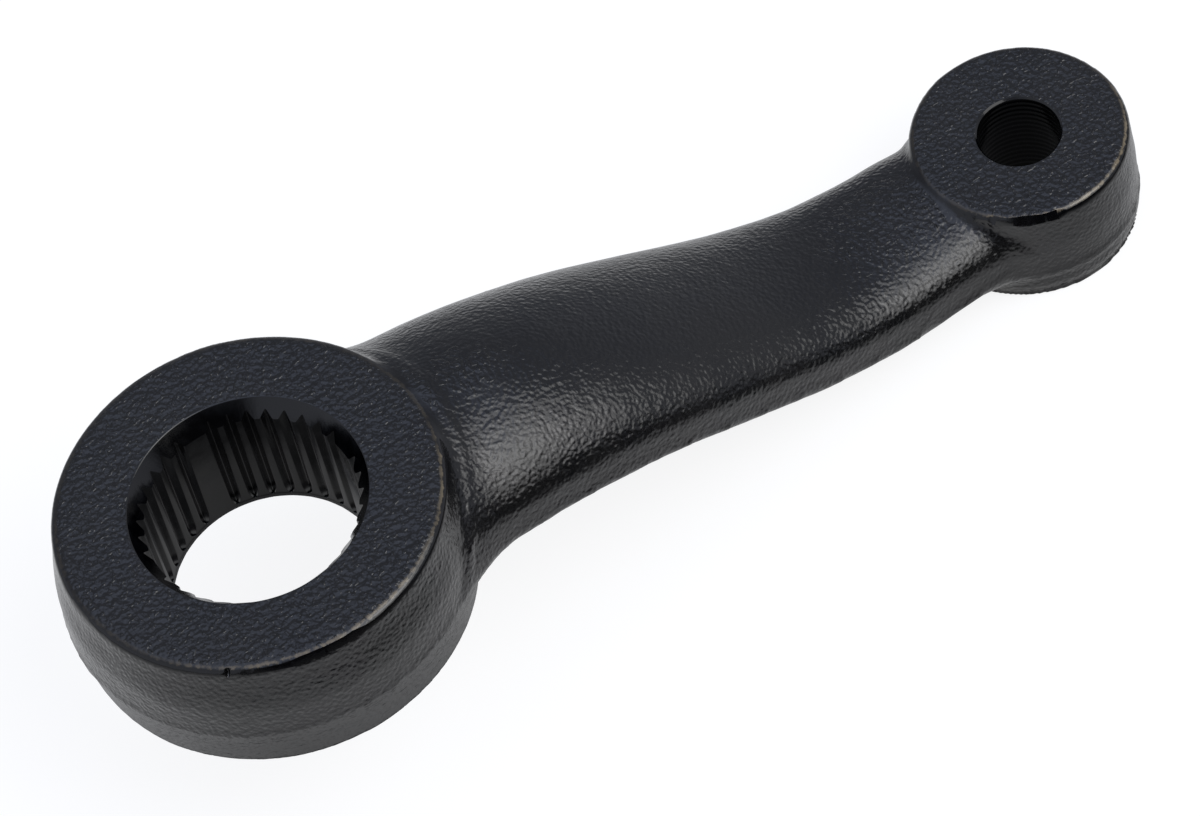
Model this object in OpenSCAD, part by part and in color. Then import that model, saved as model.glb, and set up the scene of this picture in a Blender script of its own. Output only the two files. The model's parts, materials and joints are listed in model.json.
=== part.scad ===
// Pitman arm: a one-piece steering arm, drop forged in steel and painted black.
// A serrated hub clamps on the sector shaft of the steering box, an S-shaped arm drops from it,
// and a small eye at the low end takes the tapered stud of a ball joint.
// Millimetres. The origin is on the hub's axis, in the plane where the hub's two die halves part.
// Z points along the hub's bore to its top face, and X points along the arm.

/* [Layout] */
// Distance between the axes of the hub and the eye
centre_distance = 133; // [110:0.5:170]
// How far the eye's top face lies below the hub's top face
drop = 29; // [16:0.5:34]

/* [Hub] */
// Diameter of the hub at the parting line
hub_d = 60.5; // [57:0.1:70]
// Height of the hub's top face above the parting line
hub_up = 14.5; // [12:0.5:18]
// Depth of the hub's bottom face below the parting line
hub_down = 8.6; // [7:0.1:13]
// Forging draft of the hub's wall on both sides of the parting line, in degrees
hub_draft = 6.5; // [3:0.5:10]
// Height above the parting line at which the wall starts to lean in more
hub_shoulder_up = 7.5; // [5:0.5:9]
// Lean of the wall above that height, in degrees
hub_shoulder_draft = 9.5; // [7:0.5:20]
// Radius that softens the change between the two leans
hub_shoulder_radius = 5; // [1:0.5:8]
// Radius on the hub's top and bottom edges
hub_edge = 1.3; // [0.5:0.1:2]

/* [Serrated bore] */
// Number of places around the bore, blanks among them
serration_places = 36; // [28:4:48]
// Number of blank places that key the arm to the shaft
serration_blanks = 4; // [1, 2, 4]
// Diameter over the crests between the grooves
crest_d = 30.8; // [28:0.1:33]
// Depth of a groove below the crests, at the top face
groove_depth = 1; // [0.8:0.05:1.2]
// Included angle of a groove, in degrees
groove_angle = 86; // [60:1:90]
// Height above the bottom face at which the grooves run out
groove_run_out = 1.1; // [0.5:0.1:4]
// Length of the ramp on which a groove runs out
groove_ramp = 2.6; // [1.5:0.1:8]
// Depth of a groove at the top of that ramp
groove_ramp_depth = 0.85; // [0.5:0.05:0.95]
// Diameter of the lead-in at the top face
lead_in_d = 34.7; // [33.5:0.1:38]
// Depth of the lead-in
lead_in_depth = 2.9; // [1.5:0.1:4]
// Width of the edge break at the bore's bottom end
bore_edge_break = 0.3; // [0.1:0.1:1]

/* [Eye] */
// Diameter of the eye at its parting line
eye_d = 35; // [32:0.1:40]
// Height of the eye's top face above its parting line
eye_up = 16.4; // [14:0.1:20]
// Depth of the eye's bottom face below its parting line
eye_down = 2.5; // [2:0.5:5]
// Forging draft of the eye's wall, in degrees
eye_draft = 2.7; // [1:0.1:6]
// Radius on the eye's top and bottom edges
eye_edge = 1; // [0.4:0.1:1.5]

/* [Tapered stud hole] */
// Diameter of the small end, at the eye's top face
stud_d = 12.8; // [10:0.1:16]
// Length over which the diameter grows by one, towards the bottom face
stud_taper = 8; // [6:1:16]
// Width of the edge break at the small end
stud_edge_break = 0.2; // [0.1:0.1:0.6]

/* [Arm] */
// Width of the arm where it leaves the hub
arm_hub_w = 40.6; // [34:0.1:46]
// Width of the arm where it meets the eye
arm_eye_w = 27.7; // [24:0.1:31]
// Depth of the arm's crown below the hub's top face, at the hub
arm_hub_step = 1; // [0.4:0.1:5]
// Depth of the arm's crown below the eye's top face, at the eye
arm_eye_step = 0.7; // [0.4:0.1:5]
// Fall of the arm's parting line below the hub's, just past the hub's fillet
arm_hub_fall = 0.9; // [0:0.1:5]
// Rise of the arm's parting line above the eye's, where the bend ends
arm_eye_rise = 5.8; // [3:0.1:9]
// Fall of the arm's parting line from there to the eye's wall
arm_eye_dip = 2.5; // [1:0.1:6]
// Height of the arm's underside above the hub's bottom face, at the hub
arm_hub_clear = 1; // [0.5:0.1:3]
// Height of the arm's underside above the eye's bottom face, at the eye
arm_eye_clear = 1.5; // [0.5:0.1:4]
// Length of arm beside the hub before it bends down
arm_hub_level = 0; // [0:0.5:12]
// Length of arm beside the eye after it has bent down
arm_eye_level = 6.6; // [2:0.1:15]
// Height of the drafted side above the parting line, at the hub
arm_hub_side = 4.2; // [2:0.1:6]
// Height of the drafted side above the parting line, at the eye
arm_eye_side = 2.8; // [1:0.1:4]
// Draft of that side, in degrees
arm_draft = 6; // [2:0.5:10]
// Roundness of the crown's section at the hub: 2 is an ellipse, and less is more ridged
arm_hub_crown = 1.55; // [1.4:0.05:2.4]
// Roundness of the crown's section at the eye
arm_eye_crown = 2.25; // [1.3:0.05:2.4]
// Fillet in plan where the arm's sides run into the hub
arm_hub_fillet = 5.8; // [3:0.1:10]
// Rise of the arm's crown in that fillet
arm_crown_fillet = 1.2; // [0.5:0.1:4]
// Share of that fillet that the crown's sides take
arm_brow_share = 0.5; // [0:0.05:1]
// Fillet in plan where the arm's sides run into the eye
arm_eye_fillet = 2; // [1:0.1:4]

/* [Trimmed flash] */
// How far the trimmed flash stands out of the parting line
flash_out = 0.15; // [0.05:0.05:0.6]
// Thickness of the flash where it leaves the wall
flash_thick = 1.3; // [0.6:0.1:2]

/* [Hidden] */

// Overrun of a cut past the face that it opens
past = 1;
// Segments in a rounded corner of a turned profile
corner_steps = 4;
// Segments in a quarter of the arm's crown, in half of its underside and in each end fillet
crown_steps = 10;
under_steps = 6;
fillet_steps = 7;
// Rings along the arm between its end fillets
span_steps = 26;
// Degrees that an end fillet turns through before the arm sinks into the wall
fillet_turn = 76;
// How far the arm's ends reach into the walls of the hub and the eye
hub_overlap = 5;
eye_overlap = 6;
// Power of the underside's curve: 2 is a parabola, and more is flatter
under_power = 3;

hub_r = hub_d / 2;
eye_r = eye_d / 2;
crest_r = crest_d / 2;
stud_r = stud_d / 2;
eye_top = hub_up - drop;
eye_parting = eye_top - eye_up;
eye_bottom = eye_parting - eye_down;
paint_colour = [0.035, 0.036, 0.042];

function clamp01(t) = min(1, max(0, t));
function mix(a, b, t) = a + (b - a) * t;
function ease(t) = t * t * (3 - 2 * t);
function unit(v) = v / norm(v);

// Points of an arc of radius r that rounds the corner b between the sides b-a and b-c
function rounded(a, b, c, r) =
    let (
        u = unit(a - b),
        v = unit(c - b),
        half = acos(u * v) / 2,
        middle = b + unit(u + v) * r / sin(half),
        first = b + u * r / tan(half) - middle,
        last = b + v * r / tan(half) - middle,
        from = atan2(first.y, first.x),
        turn = (atan2(last.y, last.x) - from + 540) % 360 - 180
    )
    [for (i = [0 : corner_steps])
        middle + r * [cos(from + turn * i / corner_steps), sin(from + turn * i / corner_steps)]];

// Points of the trimmed flash on a turned wall of radius r, from below it to above it
function flash_ring(r, draft) =
    let (wall_r = r - tan(draft) * flash_thick / 2)
    [[wall_r, -flash_thick / 2], [r + flash_out, 0], [wall_r, flash_thick / 2]];

module hub_blank() {
    shoulder_r = hub_r - tan(hub_draft) * hub_shoulder_up;
    bottom = [hub_r - tan(hub_draft) * hub_down, -hub_down];
    parting = [hub_r, 0];
    shoulder = [shoulder_r, hub_shoulder_up];
    top = [shoulder_r - tan(hub_shoulder_draft) * (hub_up - hub_shoulder_up), hub_up];
    rotate_extrude($fn = 144)
        polygon(concat(
            [[0, -hub_down]],
            rounded([0, -hub_down], bottom, parting, hub_edge),
            flash_ring(hub_r, hub_draft),
            rounded(parting, shoulder, top, hub_shoulder_radius),
            rounded(shoulder, top, [0, hub_up], hub_edge),
            [[0, hub_up]]
        ));
}

module eye_blank() {
    bottom = [eye_r - tan(eye_draft) * eye_down, -eye_down];
    parting = [eye_r, 0];
    top = [eye_r - tan(eye_draft) * eye_up, eye_up];
    translate([centre_distance, 0, eye_parting])
        rotate_extrude($fn = 96)
            polygon(concat(
                [[0, -eye_down]],
                rounded([0, -eye_down], bottom, parting, eye_edge),
                flash_ring(eye_r, eye_draft),
                rounded(parting, top, [0, eye_up], eye_edge),
                [[0, eye_up]]
            ));
}

// The arm's stations are rings that follow the hub's wall at one end and the eye's at the other.
// A ring's place s is its distance from the hub's axis, measured on the centre line.
bend_from = hub_r + arm_hub_level;
bend_to = centre_distance - eye_r - arm_eye_level;
hub_fillet_end = hub_r + arm_hub_fillet;
eye_fillet_end = centre_distance - eye_r - arm_eye_fillet;

function bend(s) = ease(along(s));

// How far a fillet of radius r has come out, t of the way in from its end
function fillet_out(t, r) = r * (1 - sqrt(1 - pow(min(clamp01(t), sin(fillet_turn)), 2)));
function hub_flare(s) = fillet_out((hub_fillet_end - s) / arm_hub_fillet, arm_hub_fillet);
function eye_flare(s) = fillet_out((s - eye_fillet_end) / arm_eye_fillet, arm_eye_fillet);

function along(s) = clamp01((s - bend_from) / (bend_to - bend_from));
function half_width(s) = mix(arm_hub_w, arm_eye_w, along(s)) / 2 + hub_flare(s) + eye_flare(s);
function side_height(s) = mix(arm_hub_side, arm_eye_side, along(s));
function brow_width(s) =
    half_width(s) - tan(arm_draft) * side_height(s) - (1 - arm_brow_share) * hub_flare(s);
function crown_z(s) =
    mix(hub_up - arm_hub_step, eye_top - arm_eye_step, bend(s))
    + arm_crown_fillet * hub_flare(s) / arm_hub_fillet;
function under_z(s) = mix(arm_hub_clear - hub_down, eye_bottom + arm_eye_clear, bend(s));
function parting_z(s) =
    mix(-arm_hub_fall, eye_parting + arm_eye_rise, bend(s))
    + arm_hub_fall * pow(clamp01((hub_fillet_end - s) / arm_hub_fillet), 2)
    - arm_eye_dip * pow(clamp01((s - bend_to) / arm_eye_level), 2);

// How far a circle of radius r falls back at a distance y from its centre line
function fall_back(y, r) = r - sqrt(max(0, r * r - y * y));
function hub_share(s) = ease(clamp01(1 - (s - hub_fillet_end) / hub_r));
function eye_share(s) = ease(clamp01(1 - (eye_fillet_end - s) / eye_r));
function ring_x(s, y) =
    s - hub_share(s) * fall_back(y, max(s, hub_r))
    + eye_share(s) * fall_back(y, max(centre_distance - s, eye_r));

// Half of a section, as [y, z] from the middle of the underside to the top of the crown
function half_section(s) =
    let (
        w = half_width(s),
        parting = parting_z(s),
        under = under_z(s) - parting + flash_thick / 2,
        brow_w = brow_width(s),
        brow_z = parting + side_height(s),
        crown = crown_z(s) - brow_z,
        power = 2 / mix(arm_hub_crown, arm_eye_crown, along(s))
    )
    concat(
        [for (i = [0 : under_steps])
            let (share = i / under_steps)
            [w * share, parting - flash_thick / 2 + under * (1 - pow(share, under_power))]],
        [[w + flash_out, parting], [w, parting + flash_thick / 2]],
        [for (i = [0 : crown_steps])
            let (turn = 90 * i / crown_steps)
            [brow_w * pow(cos(turn), power), brow_z + crown * pow(sin(turn), power)]]
    );

// A whole ring: up one side of the section, then down the other
function ring(s) =
    let (half = half_section(s), last = len(half) - 1)
    concat(
        [for (p = half) [ring_x(s, p.x), p.x, p.y]],
        [for (i = [last - 1 : -1 : 1]) [ring_x(s, half[i].x), -half[i].x, half[i].y]]
    );

fillet_angles = [for (i = [0 : fillet_steps]) fillet_turn * i / fillet_steps];
stations = concat(
    [hub_r - hub_overlap],
    [for (i = [fillet_steps : -1 : 0]) hub_r + arm_hub_fillet * (1 - sin(fillet_angles[i]))],
    [for (i = [1 : span_steps - 1]) mix(hub_fillet_end, eye_fillet_end, i / span_steps)],
    [for (a = fillet_angles) eye_fillet_end + arm_eye_fillet * sin(a)],
    [centre_distance - eye_r + eye_overlap]
);

// Skin over equal rings, with each end closed by strips between the points on its two sides
module skin(rings) {
    n = len(rings[0]);
    top = n / 2;
    end = (len(rings) - 1) * n;
    walls = [for (k = [0 : len(rings) - 2], i = [0 : n - 1])
        let (a = k * n + i, b = k * n + (i + 1) % n)
        each [[a, a + n, b], [b, a + n, b + n]]];
    strips = [for (i = [1 : top - 2])
        each [[i, i + 1, n - i], [n - i, i + 1, n - i - 1]]];
    cap = concat([[0, 1, n - 1]], strips, [[top - 1, top, top + 1]]);
    far_cap = [for (f = cap) [f[2] + end, f[1] + end, f[0] + end]];
    polyhedron(points = [for (r = rings) each r], faces = concat(walls, cap, far_cap));
}

module arm_blank() {
    skin([for (s = stations) ring(s)]);
}

// A V along X that starts at a groove's run-out, with its root so deep there and leaning out so steeply
module leaning_v(depth, slope) {
    run = hub_up + hub_down - groove_run_out;
    inside = -depth - slope * run - 3 * past;
    side = inside * tan(groove_angle / 2);
    translate([crest_r + depth, 0, groove_run_out - hub_down])
        rotate([0, atan(slope), 0])
            translate([0, 0, -past])
                linear_extrude(height = run + 3 * past)
                    polygon([[0, 0], [inside, side], [inside, -side]]);
}

// One groove along X: full depth at the top face, a little less at the ramp, and nothing at its foot
module groove() {
    slope = (groove_depth - groove_ramp_depth) / (hub_up + hub_down - groove_run_out - groove_ramp);
    intersection() {
        leaning_v(0, groove_ramp_depth / groove_ramp);
        leaning_v(groove_ramp_depth - slope * groove_ramp, slope);
    }
}

module serrated_bore() {
    spacing = serration_places / serration_blanks;
    slope = (lead_in_d / 2 - crest_r) / lead_in_depth;
    translate([0, 0, -hub_down - past])
        cylinder(h = hub_up + hub_down + 2 * past, r = crest_r, $fn = 144);
    translate([0, 0, hub_up - lead_in_depth])
        cylinder(h = lead_in_depth + past, r1 = crest_r, r2 = crest_r + slope * (lead_in_depth + past),
            $fn = 144);
    translate([0, 0, -hub_down - past])
        cylinder(h = bore_edge_break + past, r1 = crest_r + bore_edge_break + past, r2 = crest_r,
            $fn = 144);
    for (i = [0 : serration_places - 1])
        if (i % spacing != 0)
            rotate([0, 0, 360 * i / serration_places]) groove();
}

module stud_hole() {
    slope = 1 / (2 * stud_taper);
    height = eye_up + eye_down;
    translate([centre_distance, 0, eye_bottom - past])
        cylinder(h = height + 2 * past, r1 = stud_r + slope * (height + past), r2 = stud_r - slope * past,
            $fn = 96);
    translate([centre_distance, 0, eye_top - stud_edge_break])
        cylinder(h = stud_edge_break + past, r1 = stud_r, r2 = stud_r + stud_edge_break + past, $fn = 96);
}

module pitman_arm() {
    color(paint_colour)
        difference() {
            union() {
                hub_blank();
                eye_blank();
                arm_blank();
            }
            serrated_bore();
            stud_hole();
        }
}

pitman_arm();
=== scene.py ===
"""Looks of the pitman arm: a finer forging with fillets, flash and machined holes, in black paint.

The fine mesh starts from the CAD solid: its two holes are plugged, it is remeshed and relaxed like a
forging, and the serrated bore and the turned stud hole are cut again with all their detail.
Lengths are in metres, and MM turns the sizes on a drawing into them.
"""

import json
import math

import bmesh
import bpy
import numpy as np
from mathutils import Matrix, Vector, noise


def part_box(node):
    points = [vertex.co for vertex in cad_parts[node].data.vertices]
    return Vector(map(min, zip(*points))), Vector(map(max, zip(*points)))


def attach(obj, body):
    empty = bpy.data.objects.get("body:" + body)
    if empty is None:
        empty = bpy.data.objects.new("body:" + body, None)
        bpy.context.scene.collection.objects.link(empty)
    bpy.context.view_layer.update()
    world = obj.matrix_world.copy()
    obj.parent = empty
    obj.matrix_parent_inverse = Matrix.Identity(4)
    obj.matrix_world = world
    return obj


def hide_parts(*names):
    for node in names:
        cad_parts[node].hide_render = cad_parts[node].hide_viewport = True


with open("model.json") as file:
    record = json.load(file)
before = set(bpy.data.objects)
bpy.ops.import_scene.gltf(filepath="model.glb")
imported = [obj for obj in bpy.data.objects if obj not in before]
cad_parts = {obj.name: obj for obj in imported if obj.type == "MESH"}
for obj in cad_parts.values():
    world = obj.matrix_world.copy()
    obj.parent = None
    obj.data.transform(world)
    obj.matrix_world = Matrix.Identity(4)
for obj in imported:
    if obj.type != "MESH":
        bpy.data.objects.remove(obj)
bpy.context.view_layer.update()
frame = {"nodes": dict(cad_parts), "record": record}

MM = 0.001
NODE = "pitman_arm"

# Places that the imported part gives
mounts = {m["name"]: m for m in frame["record"]["mounts"]}
hub_top = mounts["hub_top_face"]["pos_m"][2]
hub_bottom = mounts["shaft_nut_face"]["pos_m"][2]
crest_r = mounts["sector_shaft_bore"]["dims"]["r_mm"] * MM
eye_x = mounts["ball_stud_hole"]["pos_m"][0]
eye_bottom = mounts["ball_stud_hole"]["pos_m"][2]
eye_top = mounts["stud_nut_face"]["pos_m"][2]
part_low, part_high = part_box(NODE)
hub_r = -part_low.x
eye_r = part_high.x - eye_x

# Forging mesh
VOXEL = 0.56 * MM
PLUG_HUB_R = 18.2 * MM
PLUG_EYE_R = 8.4 * MM
PLUG_STEPS = 96
RELAX_PASSES = 10
ARM_RELAX_PASSES = 60
ARM_RELAX_REACH = 3 * MM
# Waves in the forged skin as (size, depth), and how much calmer they are on a level face
WAVE_SIZES = ((9 * MM, 0.07 * MM), (3.6 * MM, 0.03 * MM))
LEVEL_CALM = 0.8
LEVEL_FACE = (0.95, 0.99)

# Fillets: how hollow a crease has to be, how far it spreads, and how much of the fillet the eye's get
FILLET_PASSES = 26
HOLLOW = (0.02, 0.08)
HOLLOW_SPREAD = 5
HOLLOW_GAIN = 2.5
EYE_FILLET_SHARE = 0.15
EYE_FILLET_FROM = 2 * eye_r
EYE_FILLET_TO = 1.4 * eye_r

# Trimmed flash: how far it stands out, and its mean and swing where the trimming is jagged
FLASH_OUT = 0.13 * MM
FLASH_WIDTH = 0.5 * MM
FLASH_WALL = (0.75, 0.4)
JAG_MEAN = 0.75
JAG_SWING = 0.9
JAG_SIZE = 1.6 * MM
# Its height on the hub, where it leans towards one side, and on the eye, where it waves
HUB_FLASH_Z = -1.5 * MM
HUB_FLASH_LEAN = 0.8 * MM
HUB_FLASH_TURN = math.pi / 6
EYE_FLASH_UP = 2.4 * MM
EYE_FLASH_WAVE = 0.5 * MM
EYE_FLASH_WAVES = 3
EYE_FLASH_TURN = 0.6
EYE_FLASH_SHARE = 1.8
EYE_LOW_LEAN = 0.1
# Strips of the arm that its parting line is read from, and their distance from the hub and the eye
PARTING_STRIPS = 25
PARTING_OFF_HUB = 7 * MM
PARTING_OFF_EYE = 3 * MM
# Points up to this far outside the hub's or the eye's radius count as on it
ON_HUB = 2 * MM
ON_EYE = 1 * MM

# Height and depth of the soft crease in the walls of the hub and the eye
HUB_CREASE = (5.6 * MM, 0.25 * MM)
EYE_CREASE = (-22 * MM, 0.15 * MM)
CREASE_REACH = 5.6 * MM
CREASE_WALL = (0.5, 0.3)
ON_WALL = 0.5 * MM

# Edges of the top faces, the smooth band over them, and the rims just inside that the paint is thin on
HUB_EDGE_R = 28.2 * MM
EYE_EDGE_R = 16.7 * MM
EDGE_OFF = 0.15 * MM
EDGE_DOWN = 0.6 * MM
HUB_RIM_R = 27.6 * MM
EYE_RIM_R = 16.15 * MM
RIM_DEPTH = 0.05 * MM
RIM_PASSES = 2
RIM_REACH = 1.1 * MM

# Bevel filed on the front of the rims: lean of its normal, and depth, first and last turn on hub and eye
BEVEL_LEAN = math.radians(59)
BEVEL_SPREAD = math.radians(7)
BEVEL_REACH = 2 * MM
BEVEL_STEPS = 60
HUB_BEVEL = (0.5 * MM, -131, -70)
EYE_BEVEL = (0.68 * MM, -150, -84)
# How soon it fades in and out, the share of its depth that it starts outside, and its waver by the degree
BEVEL_FADE_IN = 8
BEVEL_FADE_OUT = 3
BEVEL_OUTSIDE = 0.6
BEVEL_WAVER = 0.2
BEVEL_WAVES = 7 / 90

# Knock in the hub's rim
NICK_TURN = math.radians(-128)
NICK_DOWN = 0.45 * MM
NICK_SIZE = (0.75 * MM, 0.42 * MM, 1.0 * MM)

# Serrated bore
PLACES = 36
BLANK_EVERY = 9
BLANK_ACROSS = (-0.4, -0.2, 0, 0.2, 0.4)
GROOVE_DEPTH = 1 * MM
GROOVE_HALF_ANGLE = math.radians(43)
GROOVE_RUN_OUT = 1.1 * MM
GROOVE_RAMP = 2.6 * MM
GROOVE_RAMP_DEPTH = 0.85 * MM
GROOVE_ACROSS = (-1.4, -1.16, -1.0, -0.84, -0.5, -0.22, -0.07, 0.07, 0.22, 0.5, 0.84, 1.0, 1.16, 1.4)
GROOVE_LEAST = 0.02 * MM
GROOVE_FOOT_STEPS = 9
GROOVE_RISE_STEPS = 6
ROOT_ROUND = 0.12
CREST_ROUND = 0.1
LEAD_IN_R = 17.35 * MM
LEAD_IN_DEPTH = 2.9 * MM
LEAD_IN_EDGE = 0.3 * MM
MOUTH_STEPS = 5
MOUTH_TURN = 0.85
BOTTOM_BREAK = 0.3 * MM
BORE_STEPS = 192

# Turned stud hole, and the spiral that the tool leaves in it
STUD_R = 6.4 * MM
STUD_TAPER = 1 / 16
STUD_EDGE = 0.25 * MM
STUD_STEPS = 72
STUD_EDGE_STEPS = 144
TOOL_PITCH = 1.15 * MM
TOOL_DEPTH = 0.06 * MM
TOOL_STEPS = 7

# Machined edges that turn more than this stay crisp, and faces flatter than this are top or bottom faces
CRISP_ANGLE = math.radians(22)
FLAT_FACE = 0.96

# Overrun of a cutter past the face that it opens
PAST = 1 * MM

# Ranges below are (low, high) or (low, high, to low, to high), as Shader.remap takes them

# Black paint on the forging, and (size, detail, height) of its peel and swell and of the grain on top faces
PAINT = (0.001, 0.00105, 0.0014, 1)
PAINT_WARM = (0.002, 0.0018, 0.0017, 1)
PAINT_IOR = 1.5
PATCH = (12 * MM, 3.0)
WARM_PATCHES = (0.4, 0.66)
PAINT_GLOSS = (0.3, 0.7, 0.2, 0.27)
PEEL = (0.64 * MM, 0.5, 0.14)
SWELL = (2.4 * MM, 1.0, 0.05)
GRAIN = (0.8 * MM, 0.8, 0.34)
SPECK = (0.7 * MM, 0.0)
SPECKS = (0.6, 0.74)
SPECK_HEIGHT = 0.11
TOP_FACE = (0.93, 0.99)
# Roughness of the skin by the distance from the edges of the top faces, and the gloss that goes with it
EDGE_ROUGH = (0.55 * MM, 0.95 * MM, 0.15, 1.0)
EDGE_GLOSS = (0.15, 1.0, 0.6, 1.0)

# Thin warm paint along the rims, partly worn paint and partly a painted highlight: its ragged line, the
# side of the part where the paint is worn most and the highlight is painted, and patches in it
THIN_PAINT_AND_RIM_HIGHLIGHT = (0.3, 0.24, 0.15, 1)
THIN_PAINT_AND_HIGHLIGHT_SHARE = 0.5
RAGGED_SIZE = 0.8 * MM
RAGGED_REACH = 1.0 * MM
RAGGED_LINE = (0.4 * MM, 0.1 * MM)
WORN_AND_HIGHLIT_SIDE = (0.26, -0.97)
RUBBED_AND_HIGHLIT_SIDE = (0.05, 0.5, 0.12, 1.0)
RUBBED_AND_HIGHLIT_SIZE = 9 * MM
RUBBED_AND_HIGHLIT_PATCHES = (0.3, 0.55, 0.35, 1.0)
RUBBED_AND_HIGHLIT_UP = (0.55, 0.8)

# Paint in the bore, with the heights of its patches and of its streaks along the grooves
BORE_PAINT = (0.0003, 0.0003, 0.0005, 1)
BORE_PAINT_PALE = (0.001, 0.0011, 0.0015, 1)
BORE_PALE_PATCHES = (0.35, 0.65)
BORE_GLOSS = (0.3, 0.7, 0.1, 0.18)
BORE_BUMP = 0.03 * MM
BORE_PATCH_SIZE = 3 * MM
BORE_PATCH_HEIGHT = 0.5
STREAK_SIZE = 0.5 * MM
STREAK_STRETCH = (1, 1, 0.12)
STREAK_HEIGHT = 0.3

# Paper under the part: its colours, and how reflections see it shaded around the hub and the eye
FLOOR_SIZE = 12
PAPER = (0.82, 0.82, 0.82, 1)
PAPER_MIRRORED = (0.2, 0.2, 0.2, 1)
PAPER_SHADED = (0.06, 0.06, 0.06, 1)
PAPER_GLOW = 0.84
SHADE_HUB = (0.8 * hub_r, 1.5 * hub_r, 0.04, 1.0)
SHADE_EYE = (0.7 * eye_r, 1.05 * eye_r, 0.04, 0.75)
SHADE_EYE_WIDE = (1.1 * eye_r, 2 * eye_r, 0.0, 0.25)
# Middle and fading of the light that the bore mirrors from under the hub
THROUGH_BORE = (2 * MM, 5 * MM)
THROUGH_LIGHT = (15 * MM, 22 * MM, 0.36, 0.0)
# The way to the dark front, where it begins, and how dark it is
FRONT = (0.5, -0.866, 0)
FRONT_FROM = (0.07, 0.15)
FRONT_DARK = 0.9
# Light on the paper by the distance from the part
NEAR_LIGHT = (0.05, 0.14, 0.32, 0.0)
FAR_LIGHT = (0.1, 0.5, 0.4, 0.16)

# Room that the paint mirrors: its colours, and where each of them is
ROOM_MIDDLE = (0.33, 0.35, 0.41, 1)
ROOM_HIGH = (1.02, 1.14, 1.48, 1)
ROOM_HIGH_UP = (0.58, 1.02)
ROOM_HIGH_ACROSS = (0.1, 0.5, 1.0, 0.55)
ROOM_RIGHT = (0.53, 0.55, 0.62, 1)
ROOM_RIGHT_ACROSS = (0.5, 1.0)
ROOM_LEFT = (0.58, 0.61, 0.7, 1)
ROOM_LEFT_ACROSS = (-0.4, -0.8)
ROOM_FRONT = (0.02, 0.02, 0.022, 1)
ROOM_FRONT_AHEAD = (0.6, 0.84)
ROOM_FRONT_UP = (0.3, 0.5, 1.0, 0.0)

# Soft box with a brighter core: the way to it, its colour, and (distance, size, radiance) of each
LAMP_WAY = (0.384, -0.548, 0.743)
LAMP_COLOUR = (1.0, 0.99, 0.97)
LAMP = (1.0, 1.06, 1.95)
LAMP_CORE = (0.95, 0.4, 3.0)

# Camera in the part's frame
LENS = 147.0
SENSOR = 36
CAMERA_PLACE = (-0.1077, -0.385, 0.5749)
CAMERA_AXES = (
    (0.81631, -0.5604, -0.13996),
    (-0.5318, -0.63459, -0.56079),
    (0.22545, 0.53221, -0.81605),
)


# Meshes


def points_of(mesh):
    """The mesh's vertices as an array of rows."""
    flat = np.empty(len(mesh.vertices) * 3, np.float32)
    mesh.vertices.foreach_get("co", flat)
    return flat.reshape(-1, 3).astype(float)


def normals_of(mesh):
    """The mesh's vertex normals as an array of rows."""
    flat = np.empty(len(mesh.vertices) * 3, np.float32)
    mesh.vertex_normals.foreach_get("vector", flat)
    return flat.reshape(-1, 3).astype(float)


def set_points(mesh, points):
    mesh.vertices.foreach_set("co", points.astype(np.float32).ravel())
    mesh.update()


def smoothstep(low, high, x):
    t = np.clip((x - low) / (high - low), 0, 1)
    return t * t * (3 - 2 * t)


def link(name, data):
    obj = bpy.data.objects.new(name, data)
    bpy.context.scene.collection.objects.link(obj)
    return obj


def applied(obj):
    """Replaces the object's mesh by what its modifiers make of it."""
    bpy.context.view_layer.update()
    made = bpy.data.meshes.new_from_object(obj.evaluated_get(bpy.context.evaluated_depsgraph_get()))
    obj.modifiers.clear()
    obj.data = made
    return obj


def around(centre_x, turn, radius, z):
    """A point about the upright axis at centre_x."""
    return (centre_x + radius * math.cos(turn), radius * math.sin(turn), z)


def loft(name, rings):
    """A closed mesh through equal rings of points, with a cap on each end."""
    bm = bmesh.new()
    rows = [[bm.verts.new(p) for p in ring] for ring in rings]
    for low, high in zip(rows, rows[1:]):
        for i in range(len(low)):
            j = (i + 1) % len(low)
            bm.faces.new((low[i], low[j], high[j], high[i]))
    bm.faces.new(list(reversed(rows[0])))
    bm.faces.new(rows[-1])
    mesh = bpy.data.meshes.new(name)
    bm.to_mesh(mesh)
    bm.free()
    return link(name, mesh)


def turned(name, centre_x, profile, steps):
    """A solid of revolution about the upright axis at centre_x, through (radius, height) pairs."""
    turns = [2 * math.pi * i / steps for i in range(steps)]
    return loft(name, [[around(centre_x, a, r, z) for a in turns] for r, z in profile])


# The forging


def plugged_blank():
    """A copy of the CAD solid with both of its holes filled, remeshed to even squares."""
    bm = bmesh.new()
    bm.from_mesh(frame["nodes"][NODE].data)
    for x, r, low, high in ((0, PLUG_HUB_R, hub_bottom, hub_top), (eye_x, PLUG_EYE_R, eye_bottom, eye_top)):
        place = Matrix.Translation((x, 0, (low + high) / 2))
        bmesh.ops.create_cone(
            bm, cap_ends=True, segments=PLUG_STEPS, radius1=r, radius2=r, depth=high - low, matrix=place,
        )
    mesh = bpy.data.meshes.new(NODE + "_blank")
    bm.to_mesh(mesh)
    bm.free()
    blank = link("forged_arm", mesh)
    remesh = blank.modifiers.new("remesh", "REMESH")
    remesh.mode = "VOXEL"
    remesh.voxel_size = VOXEL
    return applied(blank)


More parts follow.
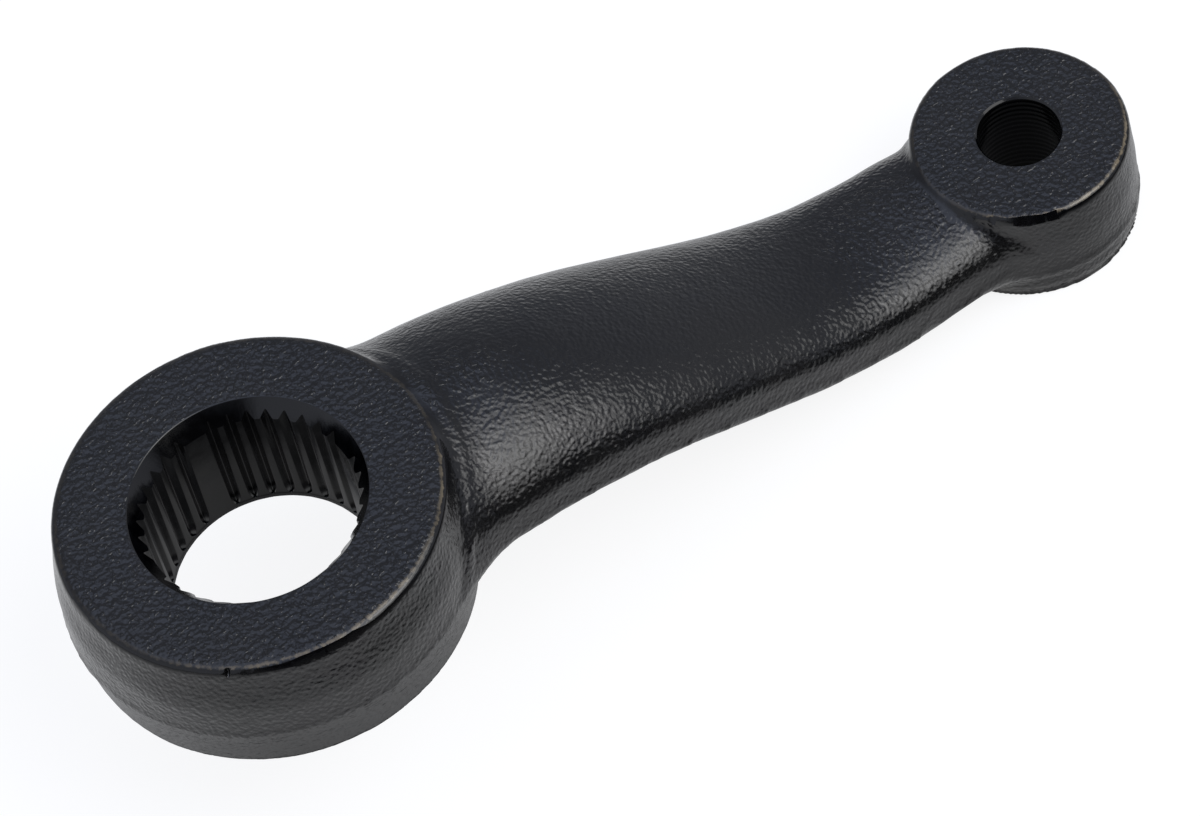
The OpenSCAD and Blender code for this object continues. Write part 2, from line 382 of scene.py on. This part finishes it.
class Relaxer:
    """Moves the points of a mesh towards the mean of their neighbours."""

    def __init__(self, mesh):
        flat = np.empty(len(mesh.edges) * 2, np.int32)
        mesh.edges.foreach_get("vertices", flat)
        ends = flat.reshape(-1, 2)
        self.at = np.concatenate((ends[:, 0], ends[:, 1]))
        self.other = np.concatenate((ends[:, 1], ends[:, 0]))
        self.size = len(mesh.vertices)
        self.count = np.bincount(self.at, minlength=self.size)

    def mean(self, values):
        columns = [np.bincount(self.at, values[self.other, k], self.size) for k in range(values.shape[1])]
        return np.stack(columns, 1) / self.count[:, None]

    def relax(self, points, passes, weight=1.0, back=-0.53, forth=0.5):
        """Smooths without shrinking: each step towards the mean is followed by one away from it."""
        weight = np.broadcast_to(weight, (self.size,))[:, None]
        for _ in range(passes):
            points = points + forth * weight * (self.mean(points) - points)
            points = points + back * weight * (self.mean(points) - points)
        return points

    def spread(self, values, passes):
        for _ in range(passes):
            values = 0.5 * values + 0.5 * self.mean(values[:, None])[:, 0]
        return values


def axis_distance(points, x):
    return np.hypot(points[:, 0] - x, points[:, 1])


def parting_lines():
    """The die's parting line, read from the CAD solid: (x, z) along the arm, and z on the eye."""
    points = points_of(frame["nodes"][NODE].data)
    ends = np.linspace(hub_r + PARTING_OFF_HUB, eye_x - eye_r - PARTING_OFF_EYE, PARTING_STRIPS + 1)
    line = []
    for low, high in zip(ends, ends[1:]):
        strip = points[(points[:, 0] >= low) & (points[:, 0] < high)]
        if len(strip):
            widest = strip[np.argmax(np.abs(strip[:, 1]))]
            line.append((widest[0], widest[2]))
    beyond = points[points[:, 0] > eye_x]
    eye_z = beyond[np.argmax(axis_distance(beyond, eye_x))][2]
    return np.array(line), eye_z


def waves(points, size):
    """A smooth random value between about -1 and 1 for each point, with bumps of that size."""
    return np.array([noise.noise(Vector(p)) for p in points / size])


def flash_ridge(points, normals):
    """How far the trimmed flash stands out at each point, with the eye's wall leaning in below it."""
    arm_line, eye_z = parting_lines()
    x, y, z = points.T
    parting = np.interp(x, arm_line[:, 0], arm_line[:, 1])
    on_hub = axis_distance(points, 0) < hub_r + ON_HUB
    on_eye = axis_distance(points, eye_x) < eye_r + ON_EYE
    hub_lean = HUB_FLASH_LEAN * np.cos(np.arctan2(y, x) + HUB_FLASH_TURN)
    parting = np.where(on_hub, HUB_FLASH_Z - hub_lean, parting)
    eye_turn = np.arctan2(y, x - eye_x)
    eye_wave = EYE_FLASH_WAVE * np.sin(EYE_FLASH_WAVES * eye_turn + EYE_FLASH_TURN)
    parting = np.where(on_eye, eye_z + EYE_FLASH_UP + eye_wave, parting)
    upright = smoothstep(*FLASH_WALL, np.abs(normals[:, 2]))
    jagged = (JAG_MEAN + JAG_SWING * waves(points, JAG_SIZE)) * np.where(on_eye, EYE_FLASH_SHARE, 1)
    ridge = FLASH_OUT * jagged * np.exp(-(((z - parting) / FLASH_WIDTH) ** 2))
    lean = np.where(on_eye, EYE_LOW_LEAN * np.clip(parting - z, 0, None), 0)
    return upright * (ridge - lean)


def wall_crease(points, normals):
    """How far the soft creases in the walls of the hub and the eye stand out at each point."""
    upright = smoothstep(*CREASE_WALL, np.abs(normals[:, 2]))
    push = np.zeros(len(points))
    for centre, radius, (height, out) in ((0, hub_r, HUB_CREASE), (eye_x, eye_r, EYE_CREASE)):
        on_wall = axis_distance(points, centre) < radius + ON_WALL
        push += out * on_wall * np.clip(1 - np.abs(points[:, 2] - height) / CREASE_REACH, 0, 1)
    return push * upright


def near_rims(points):
    """1 on the rims of the two top faces, and less away from them."""
    share = np.zeros(len(points))
    for centre, radius, top in ((0, HUB_RIM_R, hub_top), (eye_x, EYE_RIM_R, eye_top)):
        away = np.hypot(axis_distance(points, centre) - radius, points[:, 2] - top)
        share += np.exp(-((away / RIM_REACH) ** 2))
    return share


def in_creases(relaxer, mesh, points):
    """How much of a fillet each point gets: 1 in the creases at the hub, less at the eye, 0 elsewhere."""
    hollow = ((relaxer.mean(points) - points) * normals_of(mesh)).sum(1) / VOXEL
    crease = np.clip(relaxer.spread(smoothstep(*HOLLOW, hollow), HOLLOW_SPREAD) * HOLLOW_GAIN, 0, 1)
    near_eye = smoothstep(eye_x - EYE_FILLET_FROM, eye_x - EYE_FILLET_TO, points[:, 0])
    return crease * (1 - (1 - EYE_FILLET_SHARE) * near_eye)


def forging():
    """The plugged blank as a forging: relaxed, filleted in its creases, wavy, with trimmed flash."""
    arm = plugged_blank()
    mesh = arm.data
    relaxer = Relaxer(mesh)
    points = relaxer.relax(points_of(mesh), RELAX_PASSES)
    set_points(mesh, points)
    points = relaxer.relax(points, FILLET_PASSES, weight=in_creases(relaxer, mesh, points), back=0)
    points = relaxer.relax(points, RIM_PASSES, weight=near_rims(points), back=0)
    clear = np.minimum(axis_distance(points, 0) - hub_r, axis_distance(points, eye_x) - eye_r)
    points = relaxer.relax(points, ARM_RELAX_PASSES, weight=smoothstep(0, ARM_RELAX_REACH, clear))
    set_points(mesh, points)
    normals = normals_of(mesh)
    rough = 1 - LEVEL_CALM * smoothstep(*LEVEL_FACE, np.abs(normals[:, 2]))
    push = flash_ridge(points, normals) + wall_crease(points, normals)
    for size, depth in WAVE_SIZES:
        push = push + depth * rough * waves(points, size)
    set_points(mesh, np.clip(points + normals * push[:, None], part_low, part_high))
    return arm


# The holes


def groove_level(depth):
    """(turn, radius) pairs all round the bore where the grooves are that deep."""
    half = max(depth, GROOVE_LEAST) * math.tan(GROOVE_HALF_ANGLE) / crest_r
    pitch = 2 * math.pi / PLACES
    level = []
    for place in range(PLACES):
        middle = place * pitch
        if place % BLANK_EVERY == 0:
            level += [(middle + share * pitch, crest_r) for share in BLANK_ACROSS]
            continue
        for across in GROOVE_ACROSS:
            flank = 1 - math.hypot(across, ROOT_ROUND)
            share = (flank + math.hypot(flank, CREST_ROUND)) / 2
            level.append((middle + across * half, crest_r + depth * share))
    return level


def serration_cutter():
    """The grooves, which curve out of the bore at their feet and deepen a little towards the top."""
    run_out = hub_bottom + GROOVE_RUN_OUT
    slope = (GROOVE_DEPTH - GROOVE_RAMP_DEPTH) / (hub_top - run_out - GROOVE_RAMP)
    levels = [(hub_bottom - PAST, 0), (run_out, 0)]
    for i in range(1, GROOVE_FOOT_STEPS + 1):
        left = math.cos(math.pi / 2 * i / GROOVE_FOOT_STEPS)
        levels.append((run_out + GROOVE_RAMP * (1 - left), GROOVE_RAMP_DEPTH * math.sqrt(1 - left * left)))
    for z in np.linspace(2 * GROOVE_RAMP, hub_top + PAST - run_out, GROOVE_RISE_STEPS):
        levels.append((run_out + z, GROOVE_RAMP_DEPTH + slope * (z - GROOVE_RAMP)))
    return loft("serrations", [[around(0, a, r, z) for a, r in groove_level(depth)] for z, depth in levels])


def rounded_mouth(radius, slope, edge, top):
    """(radius, height) pairs where a cone that widens by slope turns over into a flat top face."""
    lean = math.atan(slope)
    last = lean + (math.pi / 2 - lean) * MOUTH_TURN
    centre_r = radius - slope * edge * (1 - math.sin(lean)) + edge * math.cos(lean)
    turns = [lean + (last - lean) * i / (MOUTH_STEPS - 1) for i in range(MOUTH_STEPS)]
    return [(centre_r - edge * math.cos(a), top - edge + edge * math.sin(a)) for a in turns]


def lead_in_cutter():
    """The cone that guides the shaft into the bore, with a rounded mouth."""
    slope = (LEAD_IN_R - crest_r) / LEAD_IN_DEPTH
    low = hub_top - LEAD_IN_DEPTH
    mouth = rounded_mouth(LEAD_IN_R, slope, LEAD_IN_EDGE, hub_top)
    start_r = mouth[0][0] - slope * (mouth[0][1] - low)
    profile = [(start_r - slope * PAST, low - PAST), *mouth, (mouth[-1][0], hub_top + PAST)]
    return turned("lead_in", 0, profile, BORE_STEPS)


def bottom_break_cutter():
    """A small cone that breaks the bore's bottom edge."""
    profile = [
        (crest_r + BOTTOM_BREAK + PAST, hub_bottom - PAST),
        (crest_r - PAST, hub_bottom + BOTTOM_BREAK + PAST),
    ]
    return turned("bottom_break", 0, profile, BORE_STEPS)


def stud_hole_cutter():
    """A cone with the fine spiral that a boring tool leaves."""
    length = eye_top - eye_bottom + 2 * PAST
    levels = int(length / TOOL_PITCH * TOOL_STEPS)
    turns = [2 * math.pi * i / STUD_STEPS for i in range(STUD_STEPS)]
    rings = []
    for k in range(levels + 1):
        z = eye_bottom - PAST + length * k / levels
        ring = []
        for a in turns:
            mark = math.cos(2 * math.pi * z / TOOL_PITCH + a)
            r = STUD_R + (eye_top - z) * STUD_TAPER + TOOL_DEPTH * (mark - 1) / 2
            ring.append(around(eye_x, a, r, z))
        rings.append(ring)
    return loft("stud_hole", rings)


def stud_edge_cutter():
    """A small cone that breaks the stud hole's top edge."""
    profile = [
        (STUD_R - PAST, eye_top - STUD_EDGE - PAST),
        (STUD_R + STUD_EDGE + PAST, eye_top + PAST),
    ]
    return turned("stud_edge", eye_x, profile, STUD_EDGE_STEPS)


# Marks of use


def bevel_cutter(name, centre_x, radius, top, bevel):
    """A wedge along the front of a rim that files its corner off, and fades out at both ends."""
    depth, first, last = bevel
    down = Vector((math.cos(BEVEL_LEAN), -math.sin(BEVEL_LEAN))) * BEVEL_REACH
    out = Vector((math.sin(BEVEL_LEAN), math.cos(BEVEL_LEAN)))
    rings = []
    for i in range(BEVEL_STEPS + 1):
        share = i / BEVEL_STEPS
        fade = min(1, BEVEL_FADE_IN * share, BEVEL_FADE_OUT * (1 - share))
        waver = 1 + BEVEL_WAVER * noise.noise((BEVEL_WAVES * share * (last - first), centre_x, 0.5))
        cut_in = depth * waver * ((1 + BEVEL_OUTSIDE) * fade - BEVEL_OUTSIDE)
        middle = Vector((radius, top)) - out * cut_in
        turn = math.radians(first + (last - first) * share)
        corners = (middle + out * BEVEL_REACH, middle + down, middle - down)
        rings.append([around(centre_x, turn, r, z) for r, z in corners])
    return loft(name, rings)


def on_bevel(face):
    """Whether a face is part of a filed bevel."""
    x, y, z = face.calc_center_median()
    centre, radius, top = (0, HUB_EDGE_R, hub_top) if x < eye_x / 2 else (eye_x, EYE_EDGE_R, eye_top)
    level = Vector((x - centre, y, 0)).normalized()
    out = level * math.sin(BEVEL_LEAN) + Vector((0, 0, math.cos(BEVEL_LEAN)))
    near = abs(math.hypot(x - centre, y) - radius) < BEVEL_REACH and top - z < BEVEL_REACH
    return near and face.normal.dot(out) > math.cos(BEVEL_SPREAD)


def nick_cutter():
    """A small knock in the hub's front rim."""
    place = Matrix.Translation(around(0, NICK_TURN, HUB_EDGE_R, hub_top - NICK_DOWN))
    shape = place @ Matrix.Rotation(NICK_TURN, 4, "Z") @ Matrix.Diagonal((*NICK_SIZE, 1))
    bm = bmesh.new()
    bmesh.ops.create_icosphere(bm, subdivisions=2, radius=1, matrix=shape)
    mesh = bpy.data.meshes.new("nick")
    bm.to_mesh(mesh)
    bm.free()
    return link("nick", mesh)


def cut(obj, cutters):
    """Takes the cutters out of the object, one after the other."""
    for cutter in cutters:
        boolean = obj.modifiers.new(cutter.name, "BOOLEAN")
        boolean.operation = "DIFFERENCE"
        boolean.solver = "MANIFOLD"
        boolean.object = cutter
        applied(obj)
        bpy.data.objects.remove(cutter)


# Materials


class Shader:
    """Short calls that add nodes to a material or world."""

    def __init__(self, owner):
        owner.use_nodes = True
        self.tree = owner.node_tree
        self.tree.nodes.clear()

    def add(self, kind, out=0, settings=None, **inputs):
        """Adds a node, sets or links its inputs by name or number, and returns one of its outputs."""
        made = self.tree.nodes.new(kind)
        for key, value in (settings or {}).items():
            setattr(made, key, value)
        for key, value in inputs.items():
            socket = made.inputs[int(key[1:]) if key[1:].isdigit() else key.replace("_", " ")]
            if isinstance(value, bpy.types.NodeSocket):
                self.tree.links.new(value, socket)
            else:
                socket.default_value = value
        return made.outputs[out] if made.outputs else None

    def math(self, operation, a, b=0.0):
        return self.add("ShaderNodeMath", settings={"operation": operation}, i0=a, i1=b)

    def plus(self, a, b):
        return self.math("ADD", a, b)

    def minus(self, a, b):
        return self.math("SUBTRACT", a, b)

    def times(self, a, b):
        return self.math("MULTIPLY", a, b)

    def least(self, a, b):
        return self.math("MINIMUM", a, b)

    def most(self, a, b):
        return self.math("MAXIMUM", a, b)

    def length(self, a, b):
        """Length of a vector from its two parts."""
        return self.math("SQRT", self.plus(self.times(a, a), self.times(b, b)))

    def split(self, vector):
        """The x, y and z of a vector."""
        return self.add("ShaderNodeSeparateXYZ", Vector=vector).node.outputs

    def remap(self, value, low, high, to_low=0.0, to_high=1.0):
        """Maps value from low..high to to_low..to_high, smoothly and clamped."""
        return self.add(
            "ShaderNodeMapRange", settings={"interpolation_type": "SMOOTHSTEP"},
            Value=value, From_Min=low, From_Max=high, To_Min=to_low, To_Max=to_high,
        )

    def noise(self, place, size, detail=2.0):
        return self.add("ShaderNodeTexNoise", Vector=place, Scale=1 / size, Detail=detail)

    def layer(self, place, size, detail, height):
        """Noise of that height."""
        return self.times(self.noise(place, size, detail), height)

    def mix(self, share, a, b):
        """Blends two colours."""
        return self.add("ShaderNodeMix", out=2, settings={"data_type": "RGBA"}, i0=share, i6=a, i7=b)

    def blend(self, share, a, b):
        """Blends two numbers."""
        return self.add("ShaderNodeMix", settings={"data_type": "FLOAT"}, i0=share, i2=a, i3=b)

    def finish(self, shader):
        self.add("ShaderNodeOutputMaterial", Surface=shader)

    def paint(self, colour, gloss, bump):
        """Ends a material with a coat of paint."""
        self.finish(self.add(
            "ShaderNodeBsdfPrincipled", Base_Color=colour, Roughness=gloss, IOR=PAINT_IOR, Normal=bump,
        ))


def ring_distance(s, axes, centre_x, radius, height):
    """Distance of the shaded point from a level circle about an upright axis."""
    out = s.length(s.minus(axes[0], centre_x), axes[1])
    return s.length(s.minus(out, radius), s.minus(axes[2], height))


def paint_skin(s, place, face):
    """Height of the paint: peel and swell on the forged skin, sharp grain and specks on the top faces."""
    skin = s.plus(s.layer(place, *PEEL), s.layer(place, *SWELL))
    speck = s.times(s.remap(s.noise(place, *SPECK), *SPECKS), SPECK_HEIGHT)
    sharp = s.plus(s.layer(place, *GRAIN), speck)
    return s.blend(s.remap(face[2], *TOP_FACE), skin, sharp)


def worn_and_highlit_rims(s, place, axes, face):
    """Share of thin paint and painted highlight: a ragged line along the rims, mostly on one side and on
    faces that look up.
    """
    hub_rim = ring_distance(s, axes, 0, HUB_RIM_R, hub_top - RIM_DEPTH)
    eye_rim = ring_distance(s, axes, eye_x, EYE_RIM_R, eye_top - RIM_DEPTH)
    stray = s.times(s.minus(s.noise(place, RAGGED_SIZE), 0.5), RAGGED_REACH)
    line = s.remap(s.plus(s.least(hub_rim, eye_rim), stray), *RAGGED_LINE)
    # Painted highlight as well as wear: the lighter rim colour is kept to one side here, and to faces that
    # look up below
    side = s.plus(s.times(face[0], WORN_AND_HIGHLIT_SIDE[0]), s.times(face[1], WORN_AND_HIGHLIT_SIDE[1]))
    patchy = s.remap(s.noise(place, RUBBED_AND_HIGHLIT_SIZE), *RUBBED_AND_HIGHLIT_PATCHES)
    rubbed_and_highlit = s.times(s.remap(side, *RUBBED_AND_HIGHLIT_SIDE), patchy)
    return s.times(s.times(line, rubbed_and_highlit), s.remap(face[2], *RUBBED_AND_HIGHLIT_UP))


def blasted_paint():
    """Semi-gloss black paint over the peened skin of a forging, thin and warm on the rims, where the
    lighter colour is also a painted highlight.
    """
    material = bpy.data.materials.new("black_paint_on_forging")
    s = Shader(material)
    place = s.add("ShaderNodeTexCoord", out="Object")
    axes = s.split(place)
    face = s.split(s.add("ShaderNodeNewGeometry", out="Normal"))

    hub_edge = ring_distance(s, axes, 0, HUB_EDGE_R - EDGE_OFF, hub_top - EDGE_DOWN)
    eye_edge = ring_distance(s, axes, eye_x, EYE_EDGE_R - EDGE_OFF, eye_top - EDGE_DOWN)
    rough = s.remap(s.least(hub_edge, eye_edge), *EDGE_ROUGH)
    bump = s.add("ShaderNodeBump", Strength=rough, Distance=MM, Height=paint_skin(s, place, face))

    patch = s.noise(place, *PATCH)
    colour = s.mix(s.remap(patch, *WARM_PATCHES), PAINT, PAINT_WARM)
    # Thin warm paint on the rims, partly worn paint and partly a painted highlight along their upper front
    # edge
    colour = s.mix(s.times(worn_and_highlit_rims(s, place, axes, face), THIN_PAINT_AND_HIGHLIGHT_SHARE), colour, THIN_PAINT_AND_RIM_HIGHLIGHT)
    gloss = s.times(s.remap(patch, *PAINT_GLOSS), s.remap(rough, *EDGE_GLOSS))
    s.paint(colour, gloss, bump)
    return material


def bore_paint():
    """The same paint where it flowed over the machined bore: smoother and deeper."""
    material = bpy.data.materials.new("black_paint_in_bore")
    s = Shader(material)
    place = s.add("ShaderNodeTexCoord", out="Object")
    along = s.add("ShaderNodeMapping", Vector=place, Scale=STREAK_STRETCH)
    streak = s.noise(along, STREAK_SIZE)
    patch = s.noise(place, BORE_PATCH_SIZE)
    height = s.plus(s.times(streak, STREAK_HEIGHT), s.times(patch, BORE_PATCH_HEIGHT))
    bump = s.add("ShaderNodeBump", Strength=1.0, Distance=BORE_BUMP, Height=height)
    colour = s.mix(s.remap(patch, *BORE_PALE_PATCHES), BORE_PAINT, BORE_PAINT_PALE)
    gloss = s.remap(patch, *BORE_GLOSS)
    s.paint(colour, gloss, bump)
    return material


def floor_paper():
    """White paper with a faint shadow, which reflections see lit around the part and dark in front."""
    material = bpy.data.materials.new("white_paper")
    s = Shader(material)
    rays = s.add("ShaderNodeLightPath").node.outputs
    mirrored = s.most(rays["Is Glossy Ray"], rays["Is Transmission Ray"])
    seen = s.most(rays["Is Camera Ray"], mirrored)
    place = s.add("ShaderNodeTexCoord", out="Object")
    axes = s.split(place)
    hub_off = ring_distance(s, axes, 0, 0, 0)
    eye_off = ring_distance(s, axes, eye_x, 0, 0)

    by_hub = s.remap(hub_off, *SHADE_HUB)
    by_eye = s.plus(s.remap(eye_off, *SHADE_EYE), s.remap(eye_off, *SHADE_EYE_WIDE))
    aside = s.minus(axes[1], THROUGH_BORE[1])
    through_off = ring_distance(s, (axes[0], aside, axes[2]), THROUGH_BORE[0], 0, 0)
    through = s.remap(through_off, *THROUGH_LIGHT)
    open_floor = s.most(s.least(by_hub, by_eye), through)

    product = {"operation": "DOT_PRODUCT"}
    ahead = s.add("ShaderNodeVectorMath", out="Value", settings=product, i0=place, i1=FRONT)
    front = s.remap(ahead, *FRONT_FROM)
    clear = s.least(s.minus(hub_off, hub_r), s.minus(eye_off, eye_r))
    fading = s.plus(s.remap(clear, *NEAR_LIGHT), s.remap(clear, *FAR_LIGHT))
    lit = s.minus(mirrored, s.times(s.times(front, mirrored), FRONT_DARK))
    light = s.plus(s.times(s.times(open_floor, fading), lit), s.times(rays["Is Camera Ray"], PAPER_GLOW))
    shade = s.times(s.most(front, s.minus(1.0, open_floor)), mirrored)

    plain = s.add("ShaderNodeBsdfDiffuse", Color=PAPER)
    dim = s.add("ShaderNodeBsdfDiffuse", Color=s.mix(shade, PAPER_MIRRORED, PAPER_SHADED))
    glow = s.add("ShaderNodeEmission", Color=(1, 1, 1, 1), Strength=light)
    white = s.add("ShaderNodeAddShader", i0=dim, i1=glow)
    s.finish(s.add("ShaderNodeMixShader", i0=seen, i1=plain, i2=white))
    return material


def dress(arm):
    """Gives the forging and the two holes their paint, and smooth shading with crisp edges."""
    mesh = arm.data
    mesh.materials.clear()
    mesh.materials.append(blasted_paint())
    mesh.materials.append(bore_paint())
    bm = bmesh.new()
    bm.from_mesh(mesh)
    for face in bm.faces:
        x, y, z = face.calc_center_median()
        in_bore = math.hypot(x, y) < LEAD_IN_R + LEAD_IN_EDGE
        in_hole = math.hypot(x - eye_x, y) < STUD_R + (eye_top - z) * STUD_TAPER + STUD_EDGE
        face.material_index = 1 if (in_bore or in_hole) and abs(face.normal.z) < FLAT_FACE else 0
        face.smooth = True
    for edge in bm.edges:
        machined = any(face.material_index or on_bevel(face) for face in edge.link_faces)
        edge.smooth = not machined or edge.calc_face_angle(0) < CRISP_ANGLE
    bm.to_mesh(mesh)
    bm.free()


# Stage, light and camera


def stage():
    """Lays the paper under the part's lowest face."""
    bpy.ops.mesh.primitive_plane_add(size=FLOOR_SIZE, location=(0, 0, part_low.z))
    floor = bpy.context.object
    floor.name = "floor"
    floor.data.materials.append(floor_paper())


def studio_world():
    """A pale room that is dark low down in front, where the photograph's reflections are dark."""
    world = bpy.data.worlds.new("studio")
    bpy.context.scene.world = world
    s = Shader(world)
    way = s.split(s.add("ShaderNodeTexCoord", out="Generated"))
    front = s.remap(s.times(way[1], -1.0), *ROOM_FRONT_AHEAD)
    low = s.remap(way[2], *ROOM_FRONT_UP)
    high = s.times(s.remap(way[2], *ROOM_HIGH_UP), s.remap(way[0], *ROOM_HIGH_ACROSS))
    walls = s.mix(high, ROOM_MIDDLE, ROOM_HIGH)
    walls = s.mix(s.remap(way[0], *ROOM_RIGHT_ACROSS), walls, ROOM_RIGHT)
    walls = s.mix(s.remap(way[0], *ROOM_LEFT_ACROSS), walls, ROOM_LEFT)
    room = s.mix(s.times(front, low), walls, ROOM_FRONT)
    back = s.add("ShaderNodeBackground", Color=room, Strength=1.0)
    s.add("ShaderNodeOutputWorld", Surface=back)


def soft_box(name, distance, size, radiance):
    """A round lamp that shines at the part."""
    lamp = bpy.data.lights.new(name, "AREA")
    lamp.shape = "DISK"
    lamp.size = size
    lamp.energy = radiance * math.pi * math.pi * size * size / 4
    lamp.color = LAMP_COLOUR
    obj = link(name, lamp)
    way = Vector(LAMP_WAY).normalized()
    obj.location = (part_low + part_high) / 2 + way * distance
    obj.rotation_mode = "QUATERNION"
    obj.rotation_quaternion = way.to_track_quat("Z", "Y")


def camera():
    """The photograph's camera, fitted to the rims of the two holes and faces."""
    data = bpy.data.cameras.new("camera")
    data.sensor_width = SENSOR
    data.lens = LENS
    obj = link("camera", data)
    right, down, ahead = (Vector(v) for v in CAMERA_AXES)
    turn = Matrix((right, -down, -ahead)).transposed().to_4x4()
    obj.matrix_world = Matrix.Translation(CAMERA_PLACE) @ turn
    bpy.context.scene.camera = obj


arm = forging()
cut(arm, [
    serration_cutter(),
    lead_in_cutter(),
    bottom_break_cutter(),
    stud_hole_cutter(),
    stud_edge_cutter(),
    bevel_cutter("hub_bevel", 0, HUB_EDGE_R, hub_top, HUB_BEVEL),
    bevel_cutter("eye_bevel", eye_x, EYE_EDGE_R, eye_top, EYE_BEVEL),
    nick_cutter(),
])
dress(arm)
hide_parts(NODE)
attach(arm, "root")

stage()
studio_world()
soft_box("front_soft_box", *LAMP)
soft_box("front_soft_box_core", *LAMP_CORE)
camera()
bpy.context.scene.view_settings.view_transform = "Standard"
